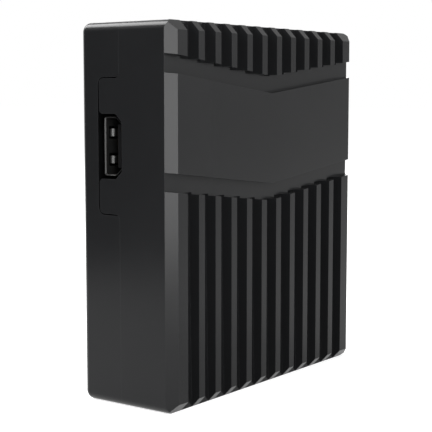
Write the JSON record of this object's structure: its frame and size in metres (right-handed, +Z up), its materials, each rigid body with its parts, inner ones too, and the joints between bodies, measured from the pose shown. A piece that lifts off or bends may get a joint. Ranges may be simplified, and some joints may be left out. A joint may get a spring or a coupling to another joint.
{
  "type": "ethernet to hdmi converter",
  "caption": "Upright finned black box that turns a network link into a picture signal, with a V band over its fins, a recessed picture port on one side and network and power ports opposite.",
  "frame": {"origin": "middle of the box's footprint, on the surface that it stands on", "axes": "+Z up, finned face to -Y, picture port to -X, network and power ports to +X"},
  "size_m": [0.087, 0.031, 0.098],
  "materials": {
    "case": "fine matte moulded",
    "black_nickel": "black nickel plated sheet",
    "receptacle_steel": "tinned sheet",
    "black_insulator": "moulded",
    "gold_contact": "gold flashed",
    "board": "solder mask",
    "light_window": "diffusing",
    "light_pipe": "clear moulded",
    "plated_pin": "plated",
    "button_plastic": "satin",
    "chip_resin": "moulded resin",
    "thermal_pad": "soft pad",
    "spreader_aluminium": "milled",
    "ceramic": "fired",
    "crystal_can": "drawn can",
    "capacitor_can": "drawn can",
    "inductor_ferrite": "ferrite",
    "screw_steel": "blackened zinc",
    "foot_rubber": "matte"
  },
  "bodies": {
    "root": {"board_screws": "screw_steel", "case_screws": "screw_steel", "ceramic_capacitors": "ceramic", "crystal": "crystal_can", "ethernet_body": "black_insulator", "ethernet_contacts": "gold_contact", "ethernet_lights": "light_window", "ethernet_shield": "receptacle_steel", "flash_chip": "chip_resin", "front_shell": "case", "hdmi_chip": "chip_resin", "hdmi_chokes": "ceramic", "hdmi_contacts": "gold_contact", "hdmi_insulator": "black_insulator", "hdmi_shell": "black_nickel", "heat_spreader": "spreader_aluminium", "main_board": "board", "memory_chips": "chip_resin", "network_chip": "chip_resin", "network_transformer": "chip_resin", "power_capacitors": "capacitor_can", "power_inductor": "inductor_ferrite", "power_jack_body": "black_insulator", "power_jack_pin": "plated_pin", "power_jack_spring": "plated_pin", "processor": "chip_resin", "rear_shell": "case", "regulator_chip": "chip_resin", "reset_switch": "black_insulator", "rubber_feet": "foot_rubber", "status_leds": "light_window", "status_light_pipes": "light_pipe", "thermal_pad": "thermal_pad"},
    "reset": {"reset_button": "button_plastic", "reset_plunger": "button_plastic"}
  },
  "joints": [
    {"name": "reset_press", "type": "slide", "parent": "root", "child": "reset", "axis": [-1, 0, 0], "range_m": [0, 0.0005], "stiffness_N_per_m": 1200, "springref_m": -0.0003}
  ]
}
